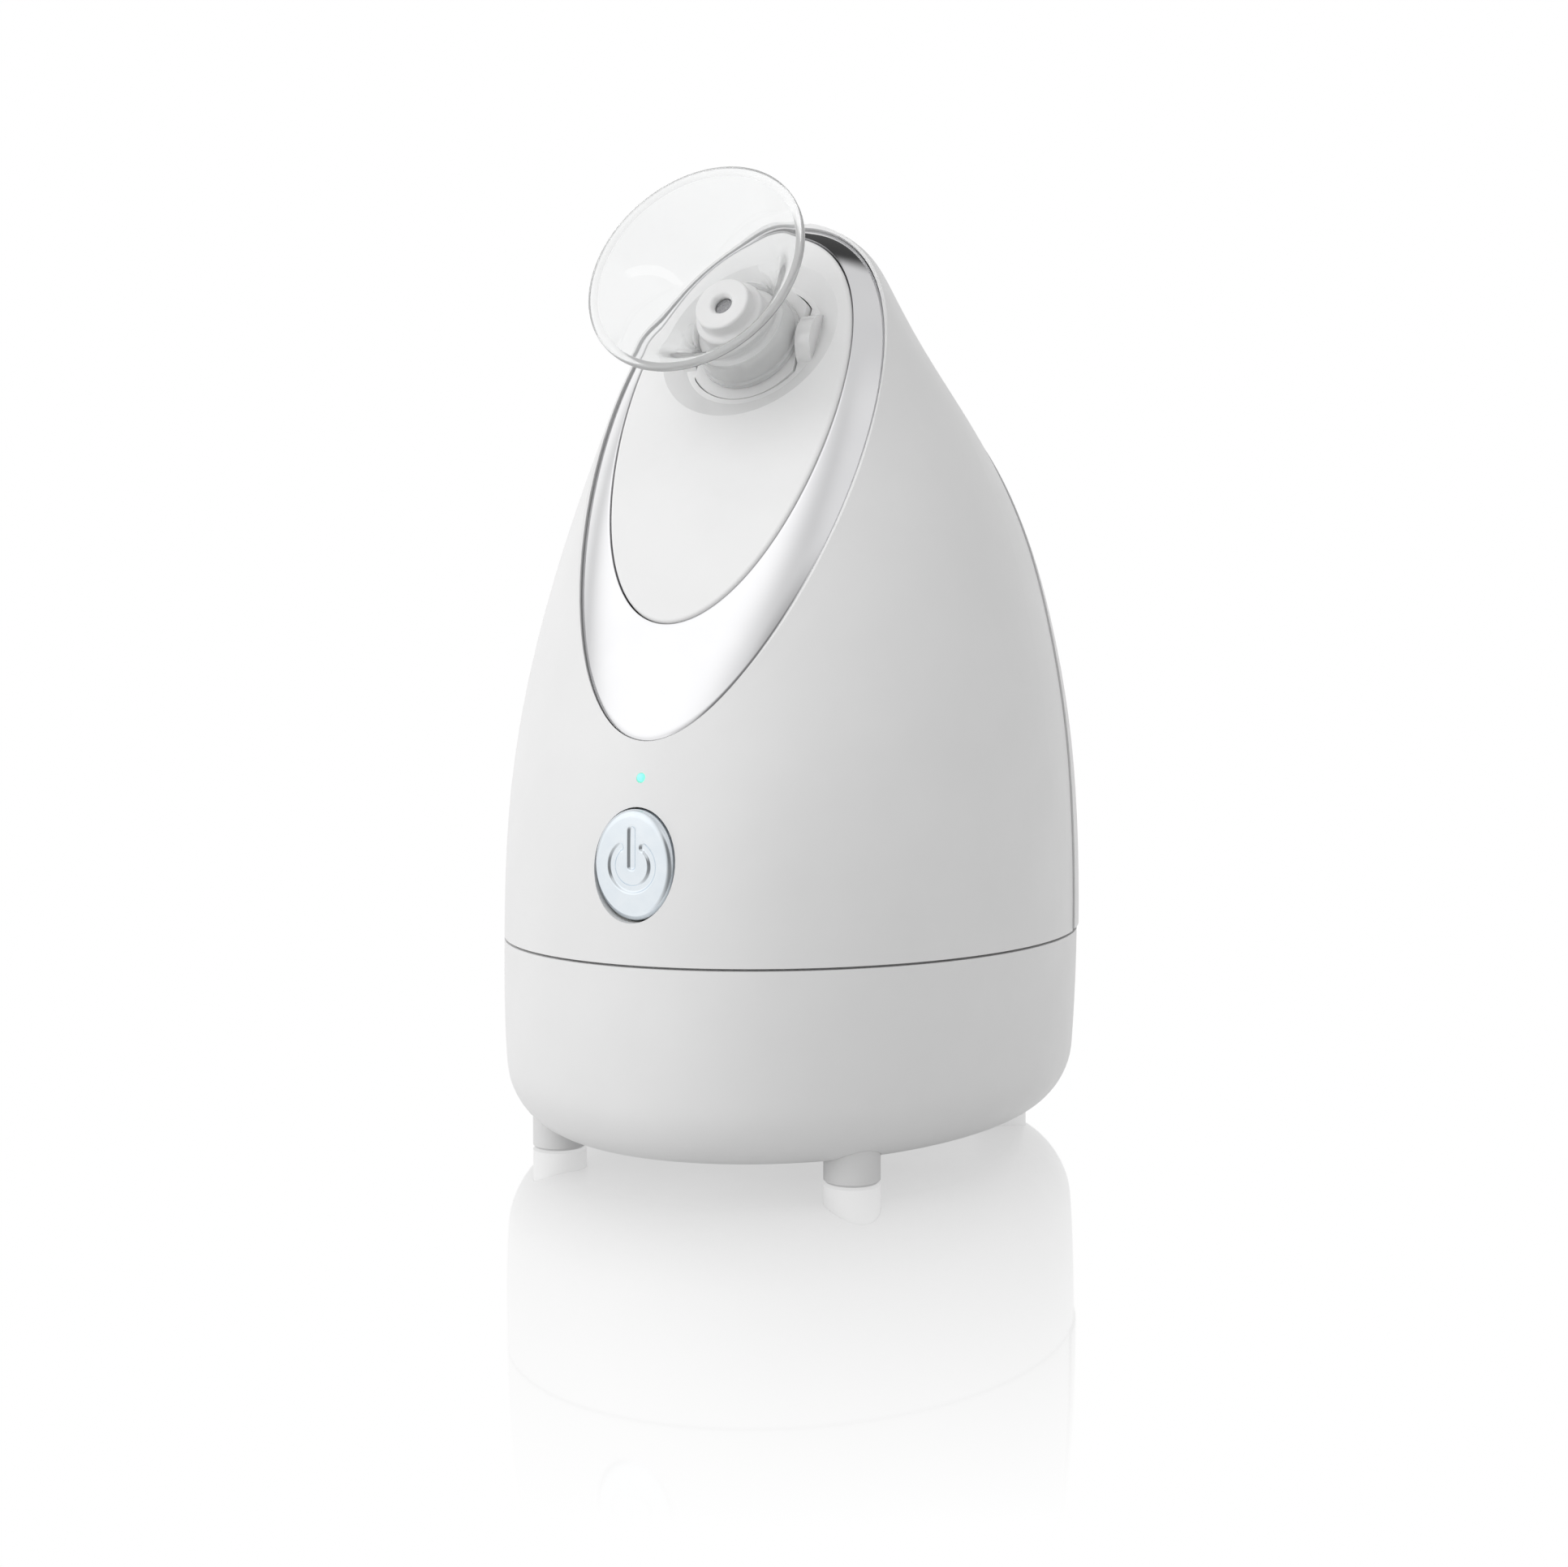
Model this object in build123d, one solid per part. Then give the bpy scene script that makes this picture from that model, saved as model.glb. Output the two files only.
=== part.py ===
from build123d import *
from math import cos, pi, radians, sin, tan
import os

# Countertop facial steamer, in millimetres.
# +Z is up, the nozzle faces -Y, and +X is to the right when looking at the front.
# The origin is on the surface it stands on, under the middle of the whole steamer.

# ---- driving dimensions ----
# Body stations: height, half width, front edge, rear edge, where it is widest.
BODY_STATIONS = (
    (23.0, 71.1, -88.2, 88.0, 0.0),
    (53.0, 72.3, -87.2, 87.6, 0.0),
    (80.0, 72.0, -84.6, 86.2, -0.6),
    (105.0, 70.3, -78.6, 82.9, -1.4),
    (130.0, 66.2, -70.6, 76.8, -1.4),
    (155.0, 59.6, -62.0, 65.8, -1.0),
    (180.0, 49.4, -53.8, 46.6, -4.0),
    (205.0, 36.6, -42.5, 25.6, -13.0),
    (216.0, 30.9, -36.0, 18.7, -13.6),
    (225.0, 24.6, -28.5, 13.6, -9.0),
    (231.0, 17.6, -21.5, 10.4, -5.4),
    (235.0, 10.2, -14.5, 8.2, -3.1),
    (236.6, 5.4, -9.6, 6.6, -2.0),
)
# The bottom edge is rounded by a quarter ellipse that rises this far and draws in this far.
BOTTOM_Z = 5.3
BOTTOM_RISE = 17.7
BOTTOM_DRAW = 15.2
WALL = 2.4
FLOOR_Z = BOTTOM_Z + WALL + 0.05
SEAM_Z = 53.0
SEAM_GAP = 0.6

# Slanted face: foot of the face line, lean back from upright, length up the slope.
FACE_FOOT_Y = -78.65
FACE_FOOT_Z = 104.06
FACE_LEAN = 30.0
FACE_LENGTH = 151.5
RING_HALF_WIDTH = 36.95
RING_FLARE = 0.17
RING_FLARE_2 = 0.02
PANEL_CENTRE = 86.75
PANEL_HALF_LENGTH = 58.3
PANEL_HALF_WIDTH = 29.8
PANEL_FLARE = 0.12
PANEL_FLARE_2 = 0.06
PANEL_RISE = 5.5
PANEL_UNDER = 2.6
RING_RISE = 5.2
RING_SEAT = -2.6
FACE_LIP = 0.7
FACE_DECK = 2.4
OUTLINE_POINTS = 28

# Nozzle: pivot point, elevation of its axis, distances along that axis from the pivot.
PIVOT_Y = -22.44
PIVOT_Z = 201.12
NOZZLE_ELEVATION = 24.9
BALL_RADIUS = 17.2
BALL_HALF_WIDTH = 13.8
BALL_FRONT = 4.5
BALL_BACK = -9.0
RIM_DISTANCE = 37.0
RIM_RADIUS = 28.6
NECK_RADIUS = 13.0
NECK_BORE = 11.5
CUP_WALL = 1.5
DISH_RADIUS = 24.0
DISH_FLOOR_RADIUS = 18.6
DISH_DEPTH = 2.5
CHEEK_FACE = 14.2
KNUCKLE_END = 18.2
KNUCKLE_RADIUS = 7.8
PIN_RADIUS = 2.5

# Power button and indicator.
BUTTON_Z = 75.7
BUTTON_HALF_WIDTH = 10.35
BUTTON_HALF_HEIGHT = 12.85
BUTTON_GAP = 0.4
BUTTON_FRONT_Y = -85.6
SIGN_DROP = 0.15
SIGN_OUTER = 6.1
SIGN_INNER = 4.5
SIGN_GAP = 3.1
SIGN_BAR = 8.3
INDICATOR_Z = 95.6
INDICATOR_RADIUS = 1.1
BOARD_Y = -65.0

# Water tank and its dock.
TANK_SPLIT_Y = 19.0
TANK_PROUD = 0.5
TANK_WALL = 2.2
TANK_FLOOR_Z = 56.0
TANK_TOP_Z = 209.5
VALVE_Y = 50.0
CAP_RADIUS = 17.0
NOSE_RADIUS = 7.0
NOSE_BORE = 5.5
NOSE_TIP_Z = 46.0
WELL_RADIUS = 11.0
WELL_BORE = 9.0
WELL_FLOOR_Z = 34.0
DOCK_Z = 50.0
DOCK_THICKNESS = 2.8

# Boiler.
BOILER_Y = PIVOT_Y
BOILER_RADIUS = 22.0
BOILER_BORE = 20.0
BOILER_Z = 26.0
BOILER_HEIGHT = 36.0
BOILER_FLANGE = 27.0
INLET_Z = 38.0

# Feet.
FOOT_RADIUS = 6.76
FOOT_X = 40.8
FOOT_FRONT_Y = -53.3
FOOT_REAR_Y = 46.8
FOOT_POCKET_Z = 13.5

os.makedirs("parts", exist_ok=True)


# ---- shared geometry ----
FACE = Plane(
    origin=(0, FACE_FOOT_Y, FACE_FOOT_Z),
    x_dir=(1, 0, 0),
    z_dir=(0, -cos(radians(FACE_LEAN)), sin(radians(FACE_LEAN))),
)
NOZZLE = Plane(
    origin=(0, PIVOT_Y, PIVOT_Z),
    x_dir=(1, 0, 0),
    z_dir=(0, -cos(radians(NOZZLE_ELEVATION)), sin(radians(NOZZLE_ELEVATION))),
)
# Where the pivot lies seen from the face: up the slope, and off the face.
PIVOT_ON_FACE = FACE.to_local_coords(Vector(0, PIVOT_Y, PIVOT_Z))
DISH_T = PIVOT_ON_FACE.Y
PIVOT_DEPTH = PIVOT_ON_FACE.Z


def save(shape, node):
    shape.label = node
    export_step(shape, "parts/" + node + ".step")


def block(low, high):
    size = [h - l for l, h in zip(low, high)]
    centre = [(l + h) / 2 for l, h in zip(low, high)]
    return Pos(*centre) * Box(*size)


def post(x, y, low_z, high_z, radius):
    return Pos(x, y, (low_z + high_z) / 2) * Cylinder(radius, high_z - low_z)


def tube(x, y, low_z, high_z, radius, bore):
    return post(x, y, low_z, high_z, radius) - post(x, y, low_z - 1, high_z + 1, bore)


def rod_y(x, z, low_y, high_y, radius):
    return Pos(x, (low_y + high_y) / 2, z) * Rot(90, 0, 0) * Cylinder(radius, high_y - low_y)


def rod_x(y, z, low_x, high_x, radius):
    return Pos((low_x + high_x) / 2, y, z) * Rot(0, 90, 0) * Cylinder(radius, high_x - low_x)


def egg(z, half_width, front, rear, widest):
    """Closed outline at one height: a front and a rear half ellipse that share their width."""
    front_half = EllipticalCenterArc((0, widest), half_width, widest - front, 180, arc_size=180)
    rear_half = EllipticalCenterArc((0, widest), half_width, rear - widest, 0, arc_size=180)
    return Pos(0, 0, z) * Wire([front_half, rear_half])


def body_form(inset):
    """The whole body as one solid, drawn in by inset on every side."""
    foot, half_width, front, rear, widest = BODY_STATIONS[0]
    sections = []
    for step in range(6):
        angle = radians(15 * step)
        draw_in = inset + (BOTTOM_DRAW - inset) * (1 - sin(angle))
        height = foot - (BOTTOM_RISE - inset) * cos(angle)
        sections.append(egg(height, half_width - draw_in, front + draw_in, rear - draw_in, widest))
    for z, half_width, front, rear, widest in BODY_STATIONS:
        drop = inset * max(0.0, z - 190.0) / (BODY_STATIONS[-1][0] - 190.0)
        sections.append(egg(z - drop, half_width - inset, front + inset, rear - inset, widest))
    return Solid.make_loft(sections)


def face_outline(centre, half_length, half_width, flare, flare_2, offset):
    """Egg-shaped outline on the face plane, wider towards the top, moved outward by offset."""
    points = []
    for index in range(OUTLINE_POINTS):
        angle = 2 * pi * index / OUTLINE_POINTS
        width = half_width * (1 + flare * cos(angle) + flare_2 * cos(angle) ** 2)
        points.append(((width + offset) * sin(angle), centre + (half_length + offset) * cos(angle)))
    return Spline(points, periodic=True)


def ring_outline(offset=0.0):
    half = FACE_LENGTH / 2
    return face_outline(half, half, RING_HALF_WIDTH, RING_FLARE, RING_FLARE_2, offset)


def panel_outline(offset=0.0):
    return face_outline(PANEL_CENTRE, PANEL_HALF_LENGTH, PANEL_HALF_WIDTH, PANEL_FLARE, PANEL_FLARE_2, offset)


def on_face(outline, low, high):
    """A flat-ended solid over an outline on the face, between two heights above it."""
    flat = make_face(outline)
    return FACE * (Pos(0, 0, low) * extrude(flat, high - low))


def face_disc(radius, low, high):
    return FACE * (Pos(0, DISH_T, (low + high) / 2) * Cylinder(radius, high - low))


def nozzle_turned(points):
    """A solid turned about the nozzle axis from (radius, distance from the pivot) points."""
    profile = make_face(Polyline(*[(r, 0, s) for r, s in points], close=True))
    return NOZZLE * revolve(profile, Axis.Z)


def front_of_face(height):
    return FACE * Pos(0, 75, height + 100) * Box(400, 500, 200)


outer = body_form(0.0)
inner = body_form(WALL)


# ---- base ----
FEET = [(side * FOOT_X, y) for y in (FOOT_FRONT_Y, FOOT_REAR_Y) for side in (-1, 1)]


def make_base():
    below_seam = block((-100, -100, 0), (100, 100, SEAM_Z - SEAM_GAP))
    base = (outer - inner) & below_seam
    tongue = (body_form(WALL + 0.15) - body_form(WALL + 1.6)) & block((-100, -100, 48), (100, 15, 56))
    base += tongue
    tongue_root = (body_form(1.0) - body_form(WALL + 1.6)) & block((-100, -100, 46), (100, 15, 50))
    base += tongue_root
    for x, y in FEET:
        column_top = SEAM_Z + 1 if y < 0 else DOCK_Z - 10
        base += post(x, y, BOTTOM_Z - 1, FOOT_POCKET_Z + 3, 9.2) & outer
        base += post(x, y, FOOT_POCKET_Z, column_top, 5.5)
    for x, y in FEET:
        base -= post(x, y, 0, FOOT_POCKET_Z, FOOT_RADIUS + 0.1)
        base -= post(x, y, 0, 60, 1.8)
    base += block((-20, 82.4, 27), (20, 100, 50)) & outer
    base -= block((-14, 84.8, 30), (14, 100, 47))
    base -= block((-11.1, 70, 32.4), (11.1, 100, 44.6))
    for index in range(-3, 4):
        base -= block((index * 6 - 1.3, -16, BOTTOM_Z - 1), (index * 6 + 1.3, 16, FLOOR_Z + 1))
    return base


save(make_base(), "base_housing")


def make_foot(x, y):
    foot = post(x, y, 0, FOOT_POCKET_Z - 0.1, FOOT_RADIUS)
    foot = chamfer(foot.edges().group_by(Axis.Z)[0], 0.6)
    return foot - post(x, y, FOOT_POCKET_Z - 3.4, FOOT_POCKET_Z + 1, 3.4)


for name, (x, y) in zip(("front_left", "front_right", "rear_left", "rear_right"), FEET):
    save(make_foot(x, y), "foot_" + name)


def make_housing_screws():
    screws = []
    for x, y in FEET:
        tip = SEAM_Z + 12 if y < 0 else DOCK_Z - 2
        screw = post(x, y, FOOT_POCKET_Z - 2.4, FOOT_POCKET_Z - 0.05, 3.0)
        screw += post(x, y, FOOT_POCKET_Z - 1, tip, 1.45)
        screw -= block((x - 2, y - 0.4, 0), (x + 2, y + 0.4, FOOT_POCKET_Z - 1.4))
        screws.append(screw)
    return Compound(screws)


save(make_housing_screws(), "housing_screws")


# ---- upper housing ----
def make_upper_housing():
    above_seam = block((-100, -100, SEAM_Z), (100, TANK_SPLIT_Y - 0.4, 250))
    shell = (outer - inner) & above_seam
    bay_wall = outer & block((-100, TANK_SPLIT_Y - 0.4 - WALL, SEAM_Z), (100, TANK_SPLIT_Y - 0.4, 250))
    shell += bay_wall
    deck_slab = FACE * Pos(0, 75, RING_SEAT - FACE_DECK / 2) * Box(200, 400, FACE_DECK)
    shell += outer & deck_slab & above_seam
    shell -= front_of_face(FACE_LIP)
    shell -= on_face(ring_outline(0.2), RING_SEAT, 20)
    shell -= face_disc(24.2, -20, 20)
    for side in (-1, 1):
        x = side * FOOT_X
        pillar = post(x, FOOT_FRONT_Y, SEAM_Z + 1.2, SEAM_Z + 16, 5)
        rib_low = (min(x, x + side * 30), FOOT_FRONT_Y - 1.5, SEAM_Z + 5)
        rib_high = (max(x, x + side * 30), FOOT_FRONT_Y + 1.5, SEAM_Z + 16)
        pillar += block(rib_low, rib_high)
        shell += pillar & body_form(1.0)
        shell -= post(x, FOOT_FRONT_Y, SEAM_Z, SEAM_Z + 13, 1.5)
    hole = Pos(0, 0, BUTTON_Z) * Rot(90, 0, 0) * extrude(
        Ellipse(BUTTON_HALF_WIDTH + BUTTON_GAP, BUTTON_HALF_HEIGHT + BUTTON_GAP), 100)
    shell -= hole
    shell -= rod_y(0, INDICATOR_Z, -100, -60, INDICATOR_RADIUS + 0.05)
    return shell - block((-8, 10, SEAM_Z - 1), (8, 22, SEAM_Z + 0.5))


save(make_upper_housing(), "upper_housing")


# ---- slanted face ----
def make_trim_ring():
    foot = FACE * Wire(ring_outline())
    crown = FACE * Pos(0, 0, RING_RISE) * Wire(panel_outline())
    ring = Solid.make_loft([foot, crown])
    ring += on_face(ring_outline(), RING_SEAT, 0)
    ring -= on_face(panel_outline(-2.6), RING_SEAT - 1, 20)
    ring -= on_face(panel_outline(0.0), PANEL_UNDER - 0.05, 20)
    return ring


save(make_trim_ring(), "face_trim_ring")


def make_face_panel():
    plate = on_face(panel_outline(-0.35), PANEL_UNDER, PANEL_RISE)
    plate = fillet(plate.edges().group_by(Axis(FACE.origin, FACE.z_dir))[-1], 0.9)
    plate += face_disc(24.8, 0.6, PANEL_UNDER + 1)
    dish_middle = PANEL_RISE - DISH_DEPTH / 2 + 0.005
    dish = Cone(DISH_FLOOR_RADIUS, DISH_RADIUS, DISH_DEPTH + 0.01)
    plate -= FACE * Pos(0, DISH_T, dish_middle) * dish
    for side in (-1, 1):
        near, far = sorted((side * CHEEK_FACE, side * KNUCKLE_END))
        knuckle = rod_x(PIVOT_Y, PIVOT_Z, near, far, KNUCKLE_RADIUS)
        plate += knuckle & front_of_face(0.6)
    clearance = FACE * Pos(0, DISH_T, PIVOT_DEPTH) * Sphere(BALL_RADIUS + 0.3)
    plate -= clearance & (FACE * Pos(0, DISH_T, 0) * Box(2 * CHEEK_FACE, 60, 60))
    plate -= rod_x(PIVOT_Y, PIVOT_Z, -CHEEK_FACE - 2.6, CHEEK_FACE + 2.6, PIN_RADIUS + 0.1)
    for x in (-15.5, 15.5):
        for t in (-15.5, 15.5):
            plate -= FACE * Pos(x, DISH_T + t, 0.6) * Cylinder(0.9, 5)
    return plate


save(make_face_panel(), "face_panel")


def make_cradle():
    """Socket behind the panel that the ball turns in, with the steam inlet below it."""
    reach = BALL_RADIUS + 0.5
    ball = Pos(0, PIVOT_Y, PIVOT_Z) * Sphere(reach + 2.4)
    ball -= front_of_face(0.5)
    flange = face_disc(24.4, -1.5, 0.5)
    spigot = post(0, PIVOT_Y, PIVOT_Z - reach - 14, PIVOT_Z - reach + 1, 5.4)
    cradle = ball + flange + spigot
    chamber = (Pos(0, PIVOT_Y, PIVOT_Z) * Sphere(reach)) & block((-CHEEK_FACE, -200, 0), (CHEEK_FACE, 200, 300))
    cradle -= chamber
    mouth = Cylinder(reach, 20) & Box(2 * CHEEK_FACE, 60, 60)
    cradle -= (FACE * Pos(0, DISH_T, 0) * mouth) & front_of_face(PIVOT_DEPTH)
    cradle -= post(0, PIVOT_Y, 150, PIVOT_Z - reach + 5, 4.0)
    cradle -= rod_x(PIVOT_Y, PIVOT_Z, -CHEEK_FACE - 2.6, CHEEK_FACE + 2.6, PIN_RADIUS + 0.05)
    for x in (-15.5, 15.5):
        for t in (-15.5, 15.5):
            cradle -= FACE * Pos(x, DISH_T + t, -0.5) * Cylinder(1.2, 4)
    return cradle


save(make_cradle(), "nozzle_cradle")


def make_cradle_screws():
    screws = []
    for x in (-15.5, 15.5):
        for t in (-15.5, 15.5):
            shank = Pos(x, DISH_T + t, 0.3) * Cylinder(0.88, 4.4)
            head = Pos(x, DISH_T + t, -2.15) * Cylinder(1.9, 1.2)
            screws.append(FACE * (shank + head))
    return Compound(screws)


save(make_cradle_screws(), "cradle_screws")


# ---- nozzle ----
def make_ball():
    middle = (BALL_FRONT + BALL_BACK) / 2
    slice_box = Pos(0, 0, middle) * Box(2 * BALL_HALF_WIDTH, 60, BALL_FRONT - BALL_BACK)
    ball = Sphere(BALL_RADIUS) - Sphere(BALL_RADIUS - 2.2)
    ball += Sphere(BALL_RADIUS) & (Pos(0, 0, BALL_FRONT - 1.5) * Box(60, 60, 3))
    ball &= slice_box
    ball += (Sphere(BALL_RADIUS) & slice_box) - Box(2 * BALL_HALF_WIDTH - 4, 60, 60)
    ball -= Cylinder(6.1, 60)
    pin_pair = Cylinder(PIN_RADIUS, 2 * (CHEEK_FACE + 2.3)) - Cylinder(PIN_RADIUS + 1, 2 * BALL_HALF_WIDTH - 2)
    pins = Rot(0, 90, 0) * pin_pair
    return NOZZLE * (ball + pins)


save(make_ball(), "nozzle_ball")

POST_FACE = RIM_DISTANCE - 15.5
POST_RADIUS = 7.25


def make_steam_outlet():
    """Stepped post in the throat of the cup, with a spigot through the ball's front wall."""
    base = BALL_FRONT + 0.02
    return nozzle_turned([
        (4.0, BALL_FRONT - 4), (6.0, BALL_FRONT - 4), (6.0, base), (11.2, base), (11.2, 7.2), (10.2, 7.2),
        (10.2, 9.0), (11.2, 9.0), (11.2, 11.5), (9.0, 12.5), (9.0, POST_FACE - 3.5),
        (POST_RADIUS, POST_FACE - 3.5), (POST_RADIUS, POST_FACE - 0.6), (POST_RADIUS - 0.6, POST_FACE),
        (3.3, POST_FACE), (2.3, POST_FACE - 1.0), (2.3, POST_FACE - 1.8), (4.0, POST_FACE - 3.8),
    ])


save(make_steam_outlet(), "steam_outlet")
MESH_LOW = POST_FACE - 2.1
MESH_HIGH = POST_FACE - 1.7
save(nozzle_turned([(0, MESH_LOW), (2.2, MESH_LOW), (2.2, MESH_HIGH), (0, MESH_HIGH)]), "outlet_mesh")


def make_cup_seal():
    return NOZZLE * Pos(0, 0, 8.1) * Torus(10.95, 0.5)


save(make_cup_seal(), "cup_seal")


def make_cup():
    """Clear trumpet with a thickened rim and a neck that pushes on over the outlet's spigot."""
    neck_end = BALL_FRONT + 0.15
    throat = RIM_DISTANCE - 22.5
    back = RIM_DISTANCE - 1.8
    flare_out = Spline([(NECK_RADIUS, 0, throat), (16.6, 0, RIM_DISTANCE - 14.5), (RIM_RADIUS - 1.2, 0, back)],
                       tangents=[(0, 0, 1), (1, 0, 0.55)])
    flare_in = Spline([(RIM_RADIUS - 1.5, 0, RIM_DISTANCE), (16.6 - CUP_WALL, 0, RIM_DISTANCE - 13.7),
                       (NECK_BORE, 0, throat)], tangents=[(-1, 0, -0.75), (0, 0, -1)])
    rim = Polyline((RIM_RADIUS - 1.2, 0, back), (RIM_RADIUS, 0, back + 0.5),
                   (RIM_RADIUS, 0, RIM_DISTANCE - 0.4), (RIM_RADIUS - 0.4, 0, RIM_DISTANCE),
                   (RIM_RADIUS - 1.5, 0, RIM_DISTANCE))
    flange = NECK_RADIUS + 0.7
    neck = Polyline((NECK_BORE, 0, throat), (NECK_BORE, 0, neck_end), (flange, 0, neck_end),
                    (flange, 0, neck_end + 1.4), (NECK_RADIUS, 0, neck_end + 1.4), (NECK_RADIUS, 0, throat))
    profile = make_face([flare_out, rim, flare_in, neck])
    return NOZZLE * revolve(profile, Axis.Z)


save(make_cup(), "nozzle_cup")


# ---- power button, indicator and control board ----
def ellipse_prism(half_width, half_height, front_y, rear_y):
    prism = extrude(Ellipse(half_width, half_height), rear_y - front_y)
    return Pos(0, rear_y, BUTTON_Z) * Rot(90, 0, 0) * prism


def make_button():
    cap = ellipse_prism(BUTTON_HALF_WIDTH, BUTTON_HALF_HEIGHT, BUTTON_FRONT_Y, BUTTON_FRONT_Y + 6)
    cap = fillet(cap.edges().group_by(Axis.Y)[0], 1.2)
    hollow_y = BUTTON_FRONT_Y + 2.5
    cap -= ellipse_prism(BUTTON_HALF_WIDTH - 2, BUTTON_HALF_HEIGHT - 2, hollow_y, hollow_y + 5)
    sign_z = BUTTON_Z - SIGN_DROP
    ring = Cylinder(SIGN_OUTER, 1.0) - Cylinder(SIGN_INNER, 2.0)
    groove = Pos(0, BUTTON_FRONT_Y, sign_z) * Rot(90, 0, 0) * ring
    half_line = (SIGN_OUTER - SIGN_INNER) / 2
    bar = block((-half_line, BUTTON_FRONT_Y - 1, sign_z), (half_line, BUTTON_FRONT_Y + 0.5, sign_z + SIGN_BAR))
    gap = block((-SIGN_GAP, BUTTON_FRONT_Y - 1, sign_z), (SIGN_GAP, BUTTON_FRONT_Y + 1, sign_z + SIGN_BAR))
    return cap - (groove - gap) - bar


save(make_button(), "power_button")


def make_button_carrier():
    low = BUTTON_FRONT_Y + 2.6
    carrier = ellipse_prism(BUTTON_HALF_WIDTH - 2.1, BUTTON_HALF_HEIGHT - 2.1, low, low + 1.6)
    carrier += rod_y(0, BUTTON_Z, low + 1, BOARD_Y - 5.2, 2.4)
    return carrier


save(make_button_carrier(), "button_carrier")


def make_button_guide():
    """Collar behind the shell that the button slides in."""
    guide = ellipse_prism(BUTTON_HALF_WIDTH + 3, BUTTON_HALF_HEIGHT + 3, -83.2, -74.0)
    guide &= body_form(WALL + 0.8)
    guide -= ellipse_prism(BUTTON_HALF_WIDTH + 0.3, BUTTON_HALF_HEIGHT + 0.3, -90, -76.0)
    guide -= rod_y(0, BUTTON_Z, -90, -60, 2.8)
    return guide


save(make_button_guide(), "button_guide")


def make_button_spring():
    path = Helix(pitch=1.1, height=4.4, radius=3.8)
    wire = Plane(origin=path @ 0, z_dir=path % 0) * Circle(0.3)
    spring = sweep(wire, path)
    return Pos(0, -76.4, BUTTON_Z) * Rot(90, 0, 0) * spring


save(make_button_spring(), "button_spring")


def make_control_board():
    board = block((-24, BOARD_Y, 58), (24, BOARD_Y + 1.6, 101))
    for x in (-20, 20):
        for z in (62, 97):
            board -= rod_y(x, z, BOARD_Y - 5, BOARD_Y + 5, 1.5)
    return board


save(make_control_board(), "control_board")


def make_board_posts():
    """Two brackets that hold the control board to the shell's front wall."""
    posts = []
    for x in (-20, 20):
        for z in (62, 97):
            arm = rod_y(x, z, -90, BOARD_Y - 0.02, 3.0) & body_form(WALL + 0.05)
            posts.append(arm - rod_y(x, z, BOARD_Y - 8, BOARD_Y, 1.1))
    return Compound(posts)


save(make_board_posts(), "board_posts")


def make_board_screws():
    screws = []
    for x in (-20, 20):
        for z in (62, 97):
            screw = rod_y(x, z, BOARD_Y - 6, BOARD_Y + 2.0, 1.05)
            screw += rod_y(x, z, BOARD_Y + 1.62, BOARD_Y + 3.2, 2.3)
            screws.append(screw)
    return Compound(screws)


save(make_board_screws(), "board_screws")


def make_tact_switch():
    switch = block((-3, BOARD_Y - 3.5, BUTTON_Z - 3), (3, BOARD_Y - 0.02, BUTTON_Z + 3))
    return switch + rod_y(0, BUTTON_Z, BOARD_Y - 4.0, BOARD_Y - 3, 1.6)


save(make_tact_switch(), "tact_switch")


def make_light_pipe():
    pipe = rod_y(0, INDICATOR_Z, -82.2, BOARD_Y - 3.4, INDICATOR_RADIUS) & body_form(0.3)
    return pipe + rod_y(0, INDICATOR_Z, -76.0, BOARD_Y - 3.4, 2.2)


save(make_light_pipe(), "light_pipe")
save(rod_y(0, INDICATOR_Z, BOARD_Y - 3.3, BOARD_Y - 0.02, 1.6), "indicator_led")


# ---- boiler ----
def make_boiler_frame():
    low = BOILER_Z - 8
    frame = Pos(0, BOILER_Y, low + 1.5) * Box(66, 60, 3)
    frame -= post(0, BOILER_Y, low - 1, low + 4, 10)
    for x in (-29, 29):
        for y in (BOILER_Y - 26, BOILER_Y + 26):
            frame += post(x, y, FLOOR_Z, low + 1, 3.2)
    return frame & body_form(WALL + 0.05)


save(make_boiler_frame(), "boiler_frame")
save(post(0, BOILER_Y, BOILER_Z - 4.98, BOILER_Z - 0.02, 18.5), "heater_plate")


def make_boiler_cup():
    top = BOILER_Z + BOILER_HEIGHT
    cup = post(0, BOILER_Y, BOILER_Z, top, BOILER_RADIUS)
    cup += post(0, BOILER_Y, top - 2.5, top, BOILER_FLANGE)
    cup += rod_y(0, INLET_Z, BOILER_Y, BOILER_Y + BOILER_RADIUS + 9, 3.0)
    cup -= post(0, BOILER_Y, BOILER_Z + 3, top + 1, BOILER_BORE)
    cup -= rod_y(0, INLET_Z, BOILER_Y, BOILER_Y + BOILER_RADIUS + 20, 1.8)
    for x, y in lid_holes():
        cup -= post(x, y, top - 6, top + 1, 1.0)
    return cup


def lid_holes():
    return [(24.3 * cos(radians(a)), BOILER_Y + 24.3 * sin(radians(a))) for a in (45, 135, 225, 315)]


save(make_boiler_cup(), "boiler_cup")


def make_boiler_gasket():
    top = BOILER_Z + BOILER_HEIGHT
    gasket = tube(0, BOILER_Y, top + 0.02, top + 1.0, 26.5, 20.5)
    for x, y in lid_holes():
        gasket -= post(x, y, top - 6, top + 2, 1.3)
    return gasket


save(make_boiler_gasket(), "boiler_gasket")


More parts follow.
